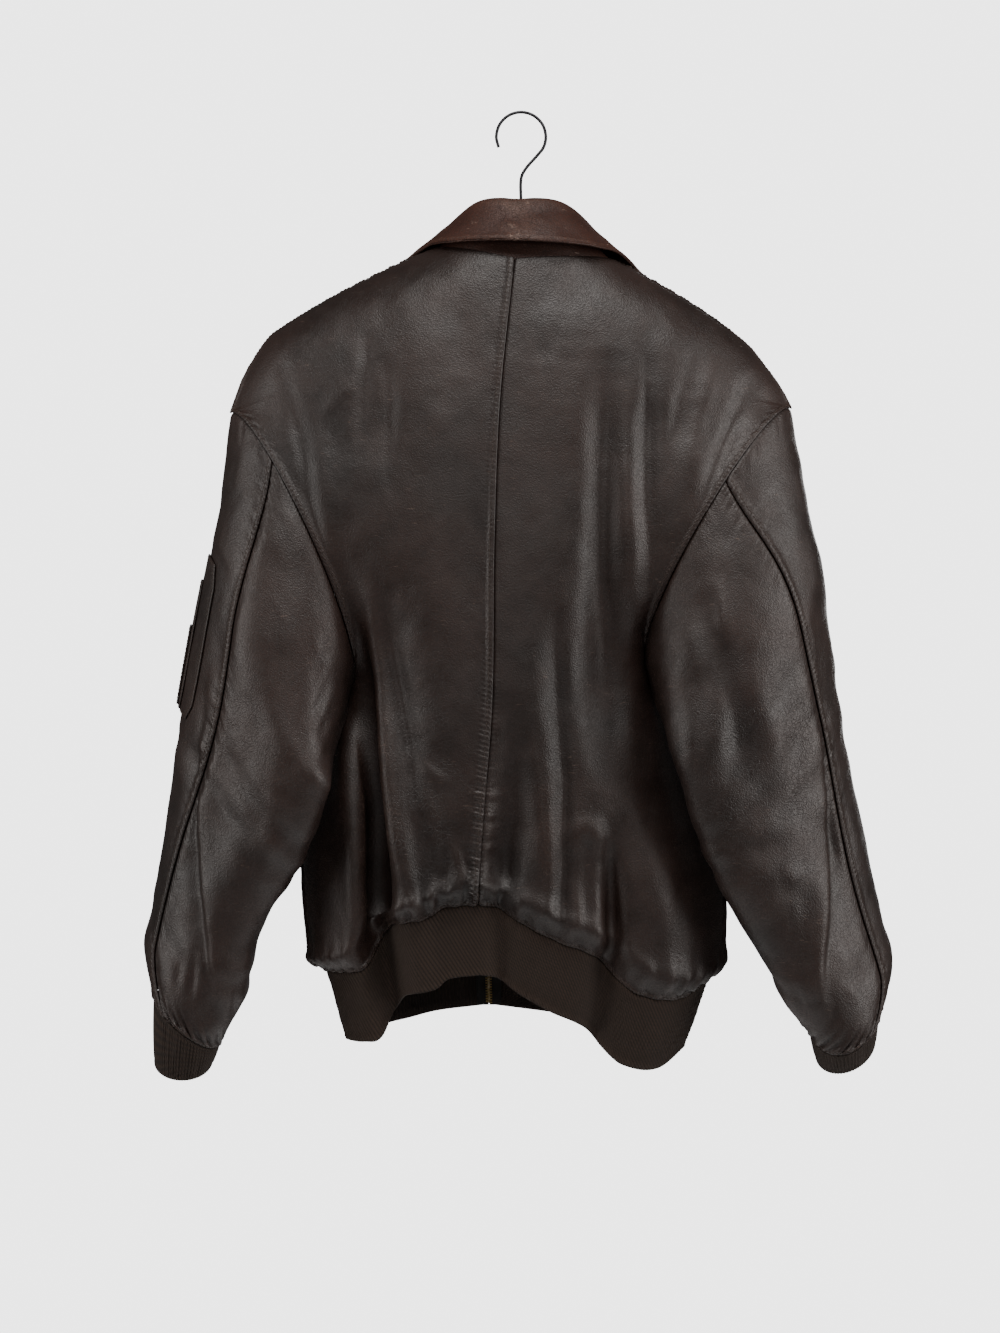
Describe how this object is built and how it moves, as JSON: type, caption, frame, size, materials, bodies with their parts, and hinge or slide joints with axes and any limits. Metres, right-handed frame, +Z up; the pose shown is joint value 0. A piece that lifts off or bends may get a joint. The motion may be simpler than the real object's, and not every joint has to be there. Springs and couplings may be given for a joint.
{
  "type": "worn leather jacket on a hanger",
  "caption": "Worn brown leather blouson hanging on a hanger, back to the viewer, with a turned-down collar, rib knit cuffs and waistband, a front zip and a sleeve pocket.",
  "frame": {"origin": "inside top of the hook's loop, where the hanger rests on a rail", "axes": "+Z up, +Y the jacket's front, away from the picture's camera, +X the wearer's right, which is the right of the picture"},
  "size_m": [0.7061, 0.1851, 0.9174],
  "materials": {
    "leather": "worn satin, scuffed and creased",
    "collar_leather": "worn satin, browner, scratched and crackled",
    "rib_knit": "matt ribbed wool",
    "zip_tape": "matt woven cotton",
    "zip_brass": "dull aged brass",
    "hanger_plastic": "plain satin",
    "hook_steel": "dark wire"
  },
  "bodies": {
    "jacket": {"back_left": "leather", "back_right": "leather", "front_left": "leather", "front_right": "leather", "sleeve_top_left": "leather", "sleeve_top_right": "leather", "sleeve_under_left": "leather", "sleeve_under_right": "leather", "pocket_base": "leather", "pocket_pen": "leather", "pocket_outer": "leather", "collar_stand": "collar_leather", "collar_fall": "collar_leather", "waistband": "rib_knit", "cuff_left": "rib_knit", "cuff_right": "rib_knit", "zip_tape_left": "zip_tape", "zip_tape_right": "zip_tape", "zip_slider": "zip_brass", "hanger_bar": "hanger_plastic", "hanger_hook": "hook_steel"},
    "pull_tab": {"zip_pull": "zip_brass"}
  },
  "joints": [
    {"name": "pull_tab_hinge", "type": "hinge", "parent": "jacket", "child": "pull_tab", "pos_m": [-0.00119, 0.07706, -0.22455], "axis": [1, 0, 0], "range_deg": [0, 160]}
  ]
}
